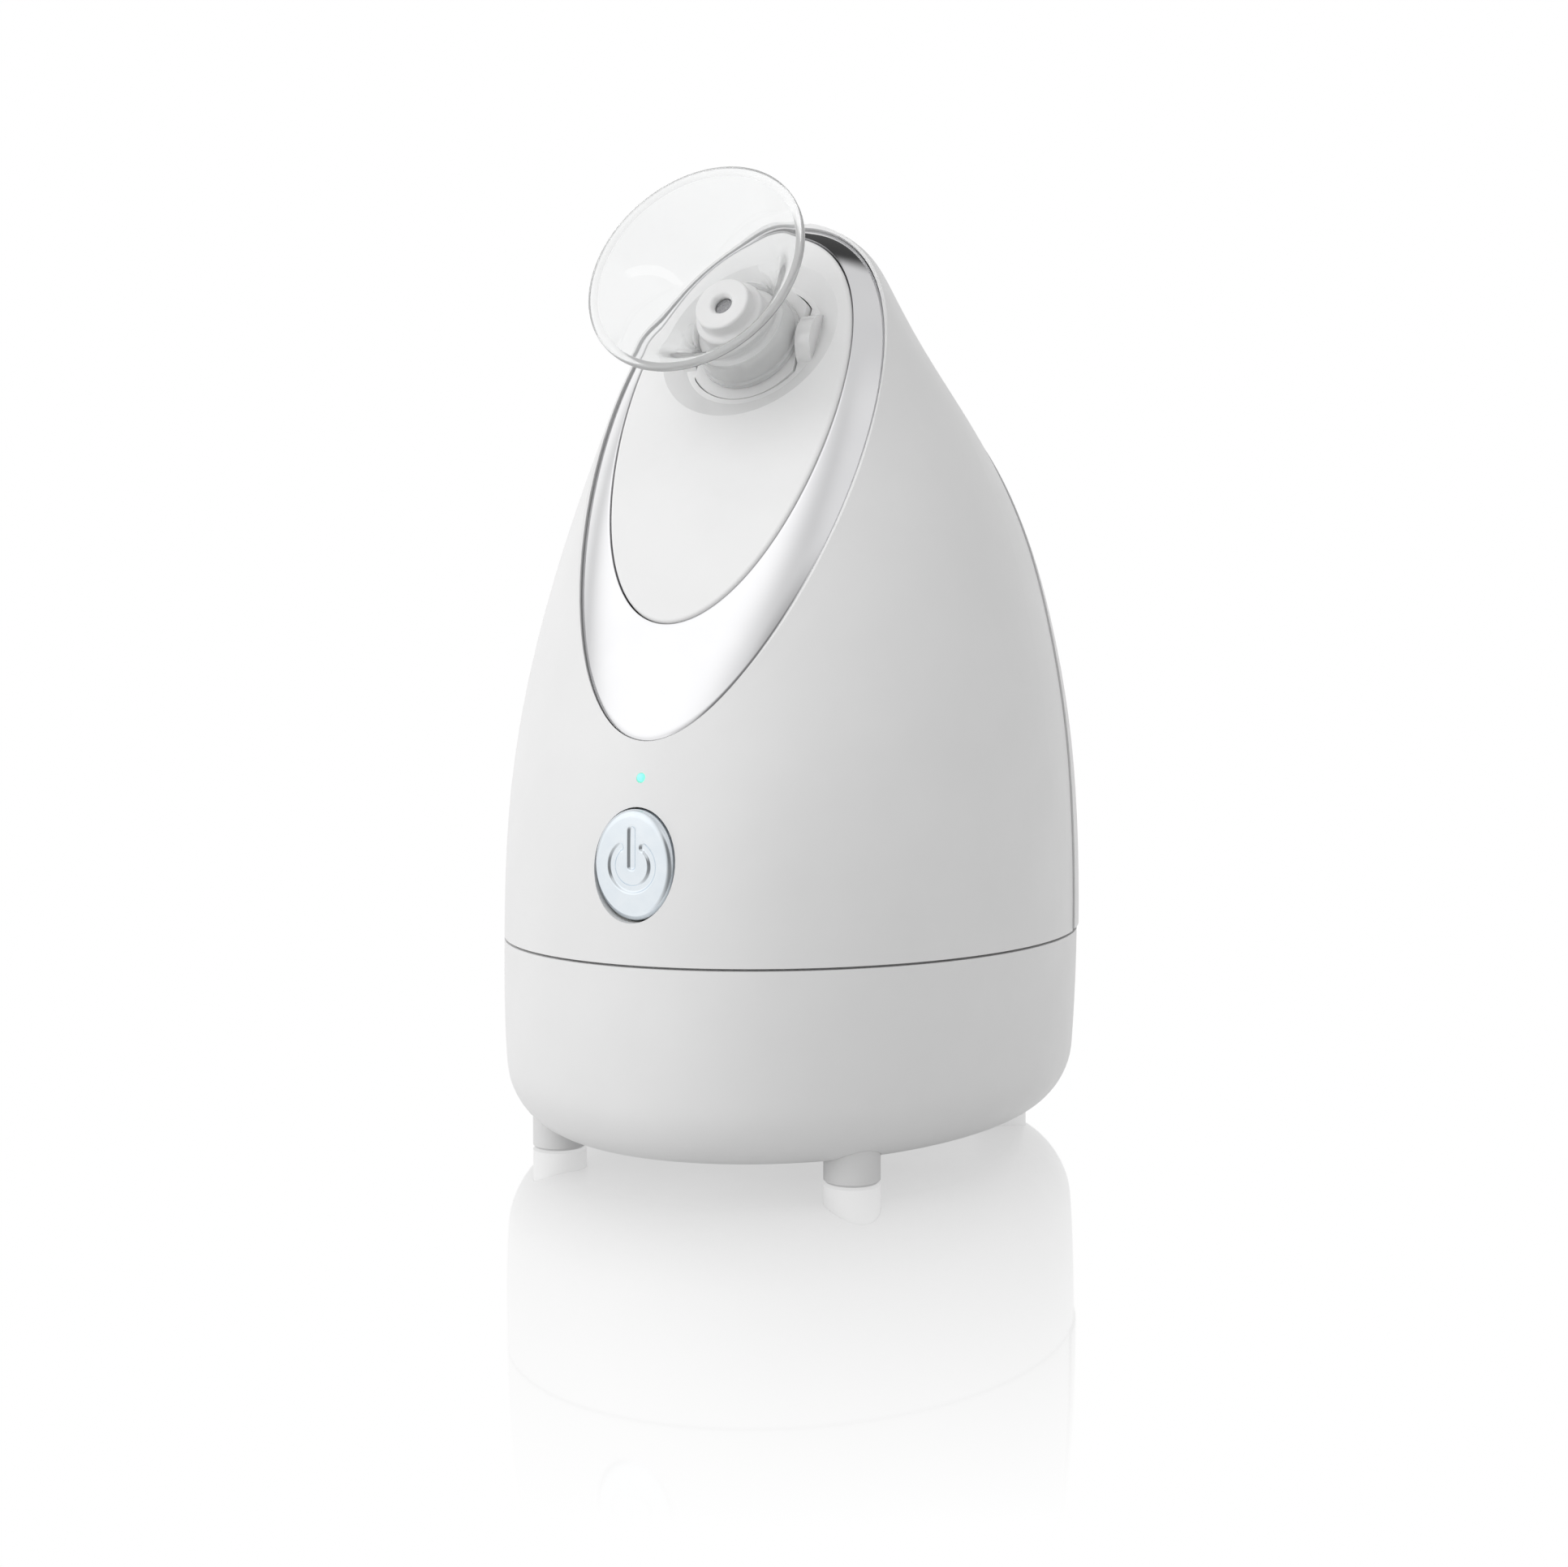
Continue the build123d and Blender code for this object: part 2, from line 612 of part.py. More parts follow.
def make_boiler_lid():
    low = BOILER_Z + BOILER_HEIGHT + 1.02
    lid = post(0, BOILER_Y, low, low + 2.5, BOILER_FLANGE)
    lid += Pos(0, BOILER_Y, low + 2.5 + 2.5) * Cone(16, 7, 5)
    lid += post(0, BOILER_Y, low + 2, low + 16, 5.4)
    lid -= post(0, BOILER_Y, low - 1, low + 17, 4.0)
    for x, y in lid_holes():
        lid -= post(x, y, low - 1, low + 4, 1.3)
    return lid


save(make_boiler_lid(), "boiler_lid")


def make_lid_screws():
    top = BOILER_Z + BOILER_HEIGHT + 1.02 + 2.5
    screws = []
    for x, y in lid_holes():
        screws.append(post(x, y, top + 0.02, top + 1.8, 2.2) + post(x, y, top - 6.5, top + 1, 0.98))
    return Compound(screws)


save(make_lid_screws(), "lid_screws")

STEAM_LOW = BOILER_Z + BOILER_HEIGHT + 10
STEAM_HIGH = PIVOT_Z - BALL_RADIUS - 5
save(tube(0, BOILER_Y, STEAM_LOW, STEAM_HIGH, 7.4, 5.42), "steam_hose")


def make_thermostat():
    disc = rod_x(BOILER_Y, BOILER_Z + 17, -BOILER_RADIUS - 6, -BOILER_RADIUS - 0.02, 7.0)
    for offset in (-3, 3):
        disc += block((-BOILER_RADIUS - 11, BOILER_Y + offset - 1.5, BOILER_Z + 16.6),
                      (-BOILER_RADIUS - 5, BOILER_Y + offset + 1.5, BOILER_Z + 17.4))
    return disc


save(make_thermostat(), "thermostat")


save(Pos(BOILER_RADIUS + 2.4, BOILER_Y, BOILER_Z + 14) * Cylinder(2.2, 14), "thermal_fuse")


# ---- power board and mains inlet ----
save(block((-33, 12, 20), (33, 69, 21.6)), "power_board")


def make_board_components():
    parts = [
        block((-31, 18, 21.62), (-15, 36, 34)),
        block((14, 38, 21.62), (31, 54, 34)),
        post(24, 24, 21.62, 36, 6.0),
        block((-10, 24, 21.62), (6, 31, 29)),
        block((-30, 44, 21.62), (-16, 56, 30)),
    ]
    return Compound(parts)


save(make_board_components(), "board_components")


def make_board_standoffs():
    stands = []
    for x in (-28, 28):
        for y in (15, 62):
            stands.append(post(x, y, FLOOR_Z, 19.98, 3.0) & body_form(WALL + 0.05))
    return Compound(stands)


save(make_board_standoffs(), "board_standoffs")


SOCKET_Z = 38.5
SOCKET_PIN_RADIUS = 1.2
PIN_X = (-4.3, 4.3)


def make_mains_socket():
    """Two-pin appliance inlet with a flanged front, set in the back of the base."""
    socket = block((-13.8, 84.85, 30.2), (13.8, 86.4, 46.8))
    socket += block((-11, 68, 32.5), (11, 85.5, 44.5))
    mouth = rod_y(-4.3, 38.5, 72, 90, 4.4) + rod_y(4.3, 38.5, 72, 90, 4.4)
    mouth += block((-4.3, 72, 36.0), (4.3, 90, 41.0))
    socket -= mouth
    for x in PIN_X:
        socket -= rod_y(x, SOCKET_Z, 60, 80, SOCKET_PIN_RADIUS)
    return socket


save(make_mains_socket(), "mains_socket")
save(Compound([rod_y(x, SOCKET_Z, 65, 83, SOCKET_PIN_RADIUS) for x in PIN_X]), "socket_pins")


# ---- tank dock and water feed ----
def make_tank_dock():
    top = DOCK_Z + DOCK_THICKNESS
    dock = body_form(WALL + 0.1) & block((-100, TANK_SPLIT_Y - 2.4, DOCK_Z), (100, 100, top))
    dock += post(0, VALVE_Y, WELL_FLOOR_Z - 2, top, WELL_RADIUS)
    dock += rod_y(0, INLET_Z, VALVE_Y - WELL_RADIUS - 9, VALVE_Y, 3.0)
    for side in (-1, 1):
        dock += post(side * FOOT_X, FOOT_REAR_Y, DOCK_Z - 9.9, top, 5.0)
    dock -= post(0, VALVE_Y, WELL_FLOOR_Z, top + 1, WELL_BORE)
    dock -= rod_y(0, INLET_Z, VALVE_Y - WELL_RADIUS - 10, VALVE_Y, 1.8)
    for side in (-1, 1):
        dock -= post(side * FOOT_X, FOOT_REAR_Y, DOCK_Z - 12, DOCK_Z, 1.5)
    return dock


save(make_tank_dock(), "tank_dock")


def make_dock_pin():
    pin = post(0, VALVE_Y, WELL_FLOOR_Z + 0.02, NOSE_TIP_Z - 0.4, 1.5)
    pin += post(0, VALVE_Y, WELL_FLOOR_Z + 0.02, WELL_FLOOR_Z + 1.5, 5.0)
    return pin


save(make_dock_pin(), "dock_pin")
HOSE_FRONT = BOILER_Y + BOILER_RADIUS + 1
HOSE_REAR = VALVE_Y - WELL_RADIUS - 1
inlet_hose = rod_y(0, INLET_Z, HOSE_FRONT, HOSE_REAR, 4.6)
save(inlet_hose - rod_y(0, INLET_Z, HOSE_FRONT - 1, HOSE_REAR + 1, 3.02), "inlet_hose")


# ---- water tank ----
def make_tank():
    inner_y = TANK_SPLIT_Y + TANK_WALL
    hollow = body_form(TANK_WALL - TANK_PROUD)
    outside = body_form(-TANK_PROUD) & block((-100, TANK_SPLIT_Y, SEAM_Z + 0.6), (100, 100, TANK_TOP_Z))
    room = hollow & block((-100, inner_y, TANK_FLOOR_Z + TANK_WALL), (100, 100, 250))
    under = hollow & block((-100, inner_y, 0), (100, 100, TANK_FLOOR_Z))
    tank = outside - room - under
    tank -= post(0, VALVE_Y, 50, 62, 14.0)
    tank -= window_block(0.15)
    return tank


def window_block(gap):
    half = 4.5 + gap
    window = block((-half, 40, 84 - gap), (half, 100, 168 + gap))
    return fillet(window.edges().filter_by(Axis.Y), 4.0)


save(make_tank(), "water_tank")


def make_window():
    skin = body_form(-TANK_PROUD + 0.1) - body_form(TANK_WALL - TANK_PROUD)
    return skin & window_block(0.0)


save(make_window(), "level_window")


def make_tank_cap():
    """Screw cap under the tank with the valve nose in its middle."""
    cap = post(0, VALVE_Y, SEAM_Z + 1.2, TANK_FLOOR_Z - 0.6, CAP_RADIUS)
    cap += post(0, VALVE_Y, SEAM_Z + 1.2, TANK_FLOOR_Z + 6, 13.6)
    cap -= post(0, VALVE_Y, SEAM_Z + 3.2, TANK_FLOOR_Z + 7, 11.6)
    cap += post(0, VALVE_Y, NOSE_TIP_Z, TANK_FLOOR_Z + 6, NOSE_RADIUS)
    cap -= post(0, VALVE_Y, NOSE_TIP_Z + 1.8, TANK_FLOOR_Z + 7, NOSE_BORE)
    cap -= post(0, VALVE_Y, NOSE_TIP_Z - 1, TANK_FLOOR_Z, 3.5)
    for index in range(3):
        angle = 120 * index
        window = Pos(0, VALVE_Y, 0) * Rot(0, 0, angle) * block((-1.5, 5, SEAM_Z + 3.2), (1.5, 8, TANK_FLOOR_Z + 7))
        cap -= window
    return cap


save(make_tank_cap(), "tank_cap")
save(tube(0, VALVE_Y, TANK_FLOOR_Z - 0.55, TANK_FLOOR_Z - 0.02, 16.6, 14.2), "cap_gasket")


def make_plunger():
    seat = NOSE_TIP_Z + 1.85
    plunger = post(0, VALVE_Y, NOSE_TIP_Z + 0.1, TANK_FLOOR_Z + 8, 1.6)
    plunger += post(0, VALVE_Y, seat + 1.5, seat + 2.5, 4.6)
    return plunger


save(make_plunger(), "valve_plunger")
save(tube(0, VALVE_Y, NOSE_TIP_Z + 1.85, NOSE_TIP_Z + 3.3, 5.0, 1.62), "valve_seal")


def make_valve_spring():
    low = NOSE_TIP_Z + 4.45
    high = TANK_FLOOR_Z + 3.9
    path = Helix(pitch=(high - low - 0.8) / 5, height=high - low - 0.8, radius=3.4)
    wire = Plane(origin=path @ 0, z_dir=path % 0) * Circle(0.35)
    return Pos(0, VALVE_Y, low + 0.4) * sweep(wire, path)


save(make_valve_spring(), "valve_spring")


save(tube(0, VALVE_Y, TANK_FLOOR_Z + 4, TANK_FLOOR_Z + 5.8, NOSE_BORE - 0.02, 1.7), "spring_guide")


# ---- internal wiring ----
def lead(points, radius):
    """Round wire along straight runs joined by arcs as large as the runs allow."""
    corners = [Vector(*point) for point in points]
    radii = []
    for before, corner, after in zip(corners, corners[1:], corners[2:]):
        turn = radians((corner - before).get_angle(after - corner))
        shorter = min((corner - before).length, (after - corner).length)
        radii.append(0.45 * shorter / tan(turn / 2))
    path = FilletPolyline(*corners, radius=radii)
    section = Plane(origin=path @ 0, z_dir=path % 0) * Circle(radius)
    return sweep(section, path)


def make_mains_leads():
    leads = []
    for side in (-1, 1):
        route = [(side * 4.3, 66, SOCKET_Z - 1.25), (side * 5.0, 66, 32), (side * 9, 66.5, 28), (side * 10, 67, 21.7)]
        leads.append(lead(route, 0.8))
    return Compound(leads)


def make_heater_leads():
    leads = []
    for side in (-1, 1):
        x = side * 12
        route = [(x, 16, 21.7), (x, 15, 28), (x * 0.9, 6, 30), (x * 0.8, 1, 23.6), (x * 0.7, -5.4, 23.5)]
        leads.append(lead(route, 0.8))
    return Compound(leads)


def make_signal_leads():
    leads = []
    for step in range(3):
        shift = 2.2 * step
        rise = 30 + shift
        route = [(-28 + shift, 14.5, 22.1), (-33 + shift, 10, rise - 1), (-40 + shift, -18, rise)]
        route += [(-36 + shift, -44, rise + 4), (-22 + shift, -60, rise + 14), (-14 + shift, -64.2, 57.7)]
        leads.append(lead(route, 0.6))
    return Compound(leads)


save(make_mains_leads(), "mains_leads")
save(make_heater_leads(), "heater_leads")
save(make_signal_leads(), "signal_leads")
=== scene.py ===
from bisect import bisect_right
from math import cos, hypot, pi, radians, sin, sqrt

import bmesh
import bpy
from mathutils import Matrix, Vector


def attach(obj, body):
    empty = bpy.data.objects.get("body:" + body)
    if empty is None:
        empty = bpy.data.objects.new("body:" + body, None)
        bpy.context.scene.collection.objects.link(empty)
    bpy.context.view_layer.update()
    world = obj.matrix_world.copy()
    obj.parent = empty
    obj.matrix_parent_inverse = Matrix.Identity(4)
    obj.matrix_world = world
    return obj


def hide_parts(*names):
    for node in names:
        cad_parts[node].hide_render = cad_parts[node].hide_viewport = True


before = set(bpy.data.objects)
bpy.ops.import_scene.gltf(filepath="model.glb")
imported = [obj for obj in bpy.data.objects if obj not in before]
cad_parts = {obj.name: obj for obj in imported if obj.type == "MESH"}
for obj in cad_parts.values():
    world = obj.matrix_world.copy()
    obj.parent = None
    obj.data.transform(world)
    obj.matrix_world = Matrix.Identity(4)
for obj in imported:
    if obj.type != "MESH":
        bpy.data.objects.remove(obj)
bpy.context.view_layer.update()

MM = 0.001


# ---- Base tub ----
# The lower half of the case: one deep tub moulded in glossy white ABS, standing on four feet.
# It carries the boiler and the boards, has the mains inlet let into its back and slots
# underneath for air. Its upper edge is rounded and stops short of the upper housing.


def node(tree, kind, **settings):
    """A shader node with its inputs set by name."""
    made = tree.nodes.new(kind)
    for name, value in settings.items():
        made.inputs[name.replace("_", " ")].default_value = value
    return made


def blank(name, roughness, **settings):
    """A new finish, with its shader and the place on the piece that the patterns go by."""
    finish = bpy.data.materials.new(name)
    finish.use_nodes = True
    tree = finish.node_tree
    shader = tree.nodes["Principled BSDF"]
    shader.inputs["Roughness"].default_value = roughness
    for key, value in settings.items():
        shader.inputs[key.replace("_", " ")].default_value = value
    place = tree.nodes.new("ShaderNodeTexCoord").outputs["Object"]
    return finish, tree, shader, place


def two_tone(tree, place, shader, light, dark, scale, socket="Base Color"):
    """Colour that drifts between two close tones."""
    cloud = node(tree, "ShaderNodeTexNoise", Scale=scale, Detail=3.0, Roughness=0.55)
    tone = tree.nodes.new("ShaderNodeValToRGB")
    tone.color_ramp.elements[0].color = (*dark, 1)
    tone.color_ramp.elements[0].position = 0.3
    tone.color_ramp.elements[1].color = (*light, 1)
    tone.color_ramp.elements[1].position = 0.7
    tree.links.new(place, cloud.inputs["Vector"])
    tree.links.new(cloud.outputs["Fac"], tone.inputs["Fac"])
    tree.links.new(tone.outputs["Color"], shader.inputs[socket])


def uneven_gloss(tree, place, shader, low, high, scale):
    """Roughness that wanders between two values."""
    cloud = node(tree, "ShaderNodeTexNoise", Scale=scale, Detail=4.0, Roughness=0.6)
    spread = node(tree, "ShaderNodeMapRange", To_Min=low, To_Max=high)
    tree.links.new(place, cloud.inputs["Vector"])
    tree.links.new(cloud.outputs["Fac"], spread.inputs["Value"])
    tree.links.new(spread.outputs["Result"], shader.inputs["Roughness"])


def relief(tree, place, shader, scale, depth, strength, kind="ShaderNodeTexNoise"):
    """Fine surface relief: depth is in metres."""
    grain = node(tree, kind, Scale=scale)
    bump = node(tree, "ShaderNodeBump", Strength=strength, Distance=depth)
    tree.links.new(place, grain.inputs["Vector"])
    tree.links.new(grain.outputs[0], bump.inputs["Height"])
    tree.links.new(bump.outputs["Normal"], shader.inputs["Normal"])


def moulded(name, colour, gloss, coat=0.0, grain=0.00001, fade=0.97, bleed=0.0):
    """Injection-moulded plastic with a faint drift of colour, uneven polish and mould grain."""
    finish, tree, shader, place = blank(name, gloss, Coat_Weight=coat, Coat_Roughness=0.04)
    if bleed:
        shader.inputs["Subsurface Weight"].default_value = bleed
        shader.inputs["Subsurface Radius"].default_value = (1.0, 0.95, 0.9)
        shader.inputs["Subsurface Scale"].default_value = 0.002
    two_tone(tree, place, shader, colour, [part * fade for part in colour], 38)
    uneven_gloss(tree, place, shader, gloss * 0.8, gloss * 1.25, 90)
    relief(tree, place, shader, 900, grain, 0.25)
    return finish


def rehang(finish, *names):
    """Gives CAD nodes that stay as they are their finish."""
    for name in names:
        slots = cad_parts[name].data.materials
        slots.clear()
        slots.append(finish)


BODY_WHITE = moulded("body_white_abs", (0.80, 0.80, 0.80), 0.38)
rehang(BODY_WHITE, "base_housing")


# ---- Feet ----
# Four round feet turned in white rubber and pushed into pockets under the base, over the
# screws that hold the two halves of the case together.
FOOT_WHITE = moulded("foot_rubber", (0.74, 0.74, 0.74), 0.55, grain=0.00003, fade=0.94)
rehang(FOOT_WHITE, "foot_front_left", "foot_front_right", "foot_rear_left", "foot_rear_right")


# ---- Upper housing ----
# The tall front shell, moulded in the same glossy white ABS. A slanted face is cut into it
# for the trim ring, the button sits in an oval hole, and a flat wall behind closes the bay
# that the tank drops into.
rehang(BODY_WHITE, "upper_housing")


# ---- Water tank ----
# The whole back of the steamer lifts off as the tank: a thin hollow shell blown in the same
# white as the case, with a closed wall towards the bay and an upright slot where a clear
# strip shows the water level. It stands half a millimetre proud of the case.
TANK_WHITE = moulded("tank_white_abs", (0.80, 0.80, 0.80), 0.38)
rehang(TANK_WHITE, "water_tank")

CLEAR_STRIP, tree, shader, place = blank("level_strip_clear", 0.08, Transmission_Weight=0.85, IOR=1.49)
two_tone(tree, place, shader, (0.93, 0.96, 0.97), (0.88, 0.92, 0.94), 60)
relief(tree, place, shader, 500, 0.00002, 0.3)
rehang(CLEAR_STRIP, "level_window")


# ---- Trim ring ----
# An egg-shaped bezel that frames the slanted face, moulded in ABS and chrome plated. It is
# broad at the foot and thin over the top, slightly crowned, and rises towards the panel.
FACE_FOOT = Vector((0, -78.65, 104.06))
FACE_UP = Vector((0, sin(radians(30)), cos(radians(30))))
FACE_OUT = Vector((0, -cos(radians(30)), sin(radians(30))))
RING_RISE = 5.2
RING_CROWN = 0.032
RING_COLUMNS = 240
RING_ROWS = 18
CHROME, tree, shader, place = blank("bright_chrome_plate", 0.06, Metallic=1.0)
two_tone(tree, place, shader, (0.90, 0.90, 0.91), (0.86, 0.86, 0.875), 45)
uneven_gloss(tree, place, shader, 0.05, 0.10, 160)
relief(tree, place, shader, 160, 0.00002, 0.12)


def skin(loops, closed=True):
    """Points and quads of a skin over loops that all have the same number of points."""
    count = len(loops[0])
    points = [point for loop in loops for point in loop]
    faces = []
    for row in range(len(loops) - 1):
        for column in range(count if closed else count - 1):
            following = (column + 1) % count
            low, high = row * count, (row + 1) * count
            faces.append((low + column, low + following, high + following, high + column))
    return points, faces


def piece(name, points, faces, finish, body, slot, stands_for, sharp=35):
    """A mesh piece from points in millimetres that rides on its CAD body for its CAD nodes."""
    mesh = bpy.data.meshes.new(name)
    mesh.from_pydata([Vector(point) * MM for point in points], [], faces)
    work = bmesh.new()
    work.from_mesh(mesh)
    bmesh.ops.remove_doubles(work, verts=work.verts, dist=0.00001)
    bmesh.ops.recalc_face_normals(work, faces=work.faces)
    work.to_mesh(mesh)
    work.free()
    mesh.materials.append(finish)
    mesh.shade_smooth()
    mesh.set_sharp_from_angle(angle=radians(sharp))
    made = bpy.data.objects.new(name, mesh)
    bpy.context.scene.collection.objects.link(made)
    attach(made, body)
    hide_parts(*stands_for)
    return made


def on_face(x, up, out):
    """A place on the slanted face, in millimetres across, up the slope and off it."""
    return tuple(FACE_FOOT + Vector((x, 0, 0)) + FACE_UP * up + FACE_OUT * out)


def egg_outline(centre, half_length, half_width, flare, flare_2, turn):
    """A point of an ellipse that is wider at one end, round from its top."""
    width = half_width * (1 + flare * cos(turn) + flare_2 * cos(turn) ** 2)
    return Vector((width * sin(turn), centre + half_length * cos(turn)))


def ring_edge(turn):
    """The trim ring's outer edge on the slanted face."""
    return egg_outline(75.75, 75.75, 36.95, 0.17, 0.02, turn)


def panel_edge(turn):
    """The face panel's edge, where the ring ends."""
    return egg_outline(86.75, 58.3, 29.8, 0.12, 0.06, turn)


def ring_column(turn):
    """The ring's cross-section at one place round the face, from its foot to its inner wall."""
    foot, crest = ring_edge(turn), panel_edge(turn)
    across = crest - foot
    width = across.length
    section = [(0.0, -2.6), (0.0, -0.5), (0.06, -0.2)]
    for row in range(RING_ROWS + 1):
        share = row / RING_ROWS
        inward = 0.25 + (width - 0.6) * share
        section.append((inward, RING_RISE * inward / width + RING_CROWN * width * 4 * share * (1 - share)))
    section += [(width - 0.12, RING_RISE - 0.12), (width, RING_RISE - 0.4), (width, 2.7)]
    return [on_face(*(foot + across * (inward / width)), up) for inward, up in section]


ring_columns = [ring_column(2 * pi * step / RING_COLUMNS) for step in range(RING_COLUMNS)]
piece("trim_ring", *skin(ring_columns + ring_columns[:1], closed=False), CHROME, "housing",
      "chrome_trim", ["face_trim_ring"], sharp=50)


# ---- Face panel ----
# The white panel inside the ring, moulded in glossy ABS with a shallow dish that clears the
# nozzle. A slot in the dish lets the ball through, between two round knuckles over its pins.
PANEL_WHITE = moulded("panel_white_abs", (0.84, 0.84, 0.84), 0.22, coat=0.3)
rehang(PANEL_WHITE, "face_panel")


# ---- Nozzle ball and cradle ----
# The ball that tilts the nozzle is a hollow slice of a sphere in satin white polypropylene.
# It turns on two pins in a cradle behind the panel, held there by four screws.
OUTLET_WHITE = moulded("outlet_white_pp", (0.82, 0.82, 0.82), 0.38, grain=0.00002, bleed=0.1)
INNER_PLASTIC = moulded("inner_grey_abs", (0.62, 0.62, 0.60), 0.45, grain=0.00004, fade=0.92)
rehang(OUTLET_WHITE, "nozzle_ball")
rehang(INNER_PLASTIC, "nozzle_cradle", "button_guide", "button_carrier", "board_posts",
       "board_standoffs", "tank_dock")


# ---- Steam outlet ----
# A stepped post in the throat of the cup, moulded in the same white. Its mouth is closed by
# a disc of fine steel mesh, and an O-ring round its foot seals the cup's neck.
PIVOT = Vector((0, -22.44, 201.12))
NOZZLE_OUT = Vector((0, -cos(radians(24.9)), sin(radians(24.9))))
NOZZLE_SIDE = Vector((1, 0, 0))


def corner_arc(before, corner, after, steps=3):
    """Points inside a rounded corner, without its two ends."""
    points = []
    for step in range(1, steps + 1):
        far = step / (steps + 1)
        near = 1 - far
        points.append(tuple(near * near * a + 2 * near * far * b + far * far * c
                            for a, b, c in zip(before, corner, after)))
    return points


def softened(profile, radius, steps=4):
    """A closed outline with each corner rounded, by less where its sides are short."""
    points = []
    for index, corner in enumerate(profile):
        before, after = profile[index - 1], profile[(index + 1) % len(profile)]
        sides = [Vector(before) - Vector(corner), Vector(after) - Vector(corner)]
        cut = min(radius, 0.4 * sides[0].length, 0.4 * sides[1].length)
        ends = [tuple(Vector(corner) + side.normalized() * cut) for side in sides]
        points += [ends[0]] + corner_arc(ends[0], corner, ends[1], steps) + [ends[1]]
    return points


def turned(profile, columns=128, centre=PIVOT, out=NOZZLE_OUT):
    """A piece turned about an axis square to X, from (radius, distance along it) points."""
    up = out.cross(NOZZLE_SIDE)
    loops = []
    for step in range(columns):
        angle = 2 * pi * step / columns
        arm = NOZZLE_SIDE * cos(angle) + up * sin(angle)
        loops.append([tuple(centre + arm * radius + out * along) for radius, along in profile])
    loops.append(loops[0])
    points, faces = skin(loops)
    return points, faces


OUTLET_PROFILE = (
    (4.0, 0.6), (6.0, 0.6), (6.0, 4.52), (11.2, 4.52), (11.2, 7.2), (10.2, 7.4), (10.2, 8.8), (11.2, 9.0),
    (11.2, 11.5), (9.0, 12.5), (9.0, 17.6), (7.25, 18.2), (7.25, 21.5), (3.1, 21.5), (2.3, 20.5),
    (2.3, 19.7), (4.0, 17.7),
)
piece("outlet_post", *turned(softened(OUTLET_PROFILE, 0.8)), OUTLET_WHITE, "nozzle", "outlet_white",
      ["steam_outlet"])

STEEL_MESH, tree, shader, place = blank("fine_steel_mesh", 0.35, Metallic=1.0)
two_tone(tree, place, shader, (0.42, 0.42, 0.43), (0.22, 0.22, 0.23), 2500)
relief(tree, place, shader, 2500, 0.0001, 0.8, "ShaderNodeTexVoronoi")
rehang(STEEL_MESH, "outlet_mesh")

SILICONE = moulded("clear_white_silicone", (0.72, 0.73, 0.73), 0.5, grain=0.00002, fade=0.93, bleed=0.3)
rehang(SILICONE, "cup_seal", "cap_gasket", "valve_seal", "steam_hose", "inlet_hose")


# ---- Nozzle cup ----
# A clear trumpet moulded in polycarbonate with a thick rounded rim. Its neck pushes over the
# outlet's spigot, and it pulls straight off for washing.
CLEAR_CUP, tree, shader, place = blank("clear_cup", 0.03, Transmission_Weight=0.97, IOR=1.40)
two_tone(tree, place, shader, (0.955, 0.96, 0.96), (0.935, 0.94, 0.94), 60)
relief(tree, place, shader, 120, 0.00003, 0.25)
CLOUDED_CUP, tree, shader, place = blank("clouded_cup_edge", 0.22, Transmission_Weight=0.55, IOR=1.25)
two_tone(tree, place, shader, (0.97, 0.975, 0.975), (0.94, 0.945, 0.945), 90)
relief(tree, place, shader, 300, 0.00003, 0.3)
RIM_STARTS = 35.9
NECK_ENDS = 11.0
FLARE_OUT = ((13.0, 12.5), (13.0, 14.5), (16.6, 22.5), (24.0, 31.9), (27.3, 34.9))
FLARE_IN = ((26.9, 36.6), (22.2, 32.2), (15.2, 23.4), (11.5, 14.6), (11.5, 12.6))


def batten(knots, values):
    """The fair curve that a draughtsman's batten takes through these values."""
    last = len(knots) - 1
    gaps = [knots[i + 1] - knots[i] for i in range(last)]
    carry, load, bend = [0.0] * (last + 1), [0.0] * (last + 1), [0.0] * (last + 1)
    for i in range(1, last):
        pivot = 2 * (gaps[i - 1] + gaps[i]) - gaps[i - 1] * carry[i - 1]
        turn = (values[i + 1] - values[i]) / gaps[i] - (values[i] - values[i - 1]) / gaps[i - 1]
        carry[i] = gaps[i] / pivot
        load[i] = (6 * turn - gaps[i - 1] * load[i - 1]) / pivot
    for i in range(last - 1, 0, -1):
        bend[i] = load[i] - carry[i] * bend[i + 1]

    def at(place):
        i = max(0, min(last - 1, bisect_right(knots, place) - 1))
        far = (place - knots[i]) / gaps[i]
        near = 1 - far
        sag = ((near ** 3 - near) * bend[i] + (far ** 3 - far) * bend[i + 1]) * gaps[i] ** 2 / 6
        return near * values[i] + far * values[i + 1] + sag

    return at


def fair_line(corners, steps):
    """A fair curve through a few points of a profile."""
    run = [0.0]
    for before, after in zip(corners, corners[1:]):
        run.append(run[-1] + hypot(after[0] - before[0], after[1] - before[1]))
    across, along = (batten(run, [corner[axis] for corner in corners]) for axis in (0, 1))
    return [(across(run[-1] * step / steps), along(run[-1] * step / steps)) for step in range(steps + 1)]


rim = softened([(27.3, 34.9), (28.6, 35.5), (28.6, 37.0), (26.9, 36.9)], 0.7)[6:-6]
neck = [(11.5, 4.7), (13.7, 4.7), (13.7, 6.0), (13.1, 6.3)]
CUP_PROFILE = fair_line(FLARE_OUT, 40) + rim + fair_line(FLARE_IN, 40) + neck
cup = piece("clear_trumpet", *turned(CUP_PROFILE, 160), CLEAR_CUP, "cup", "clear_plastic", ["nozzle_cup"])
cup.data.materials.append(CLOUDED_CUP)
for face in cup.data.polygons:
    along = (face.center / MM - PIVOT).dot(NOZZLE_OUT)
    if along > RIM_STARTS or along < NECK_ENDS:
        face.material_index = 1


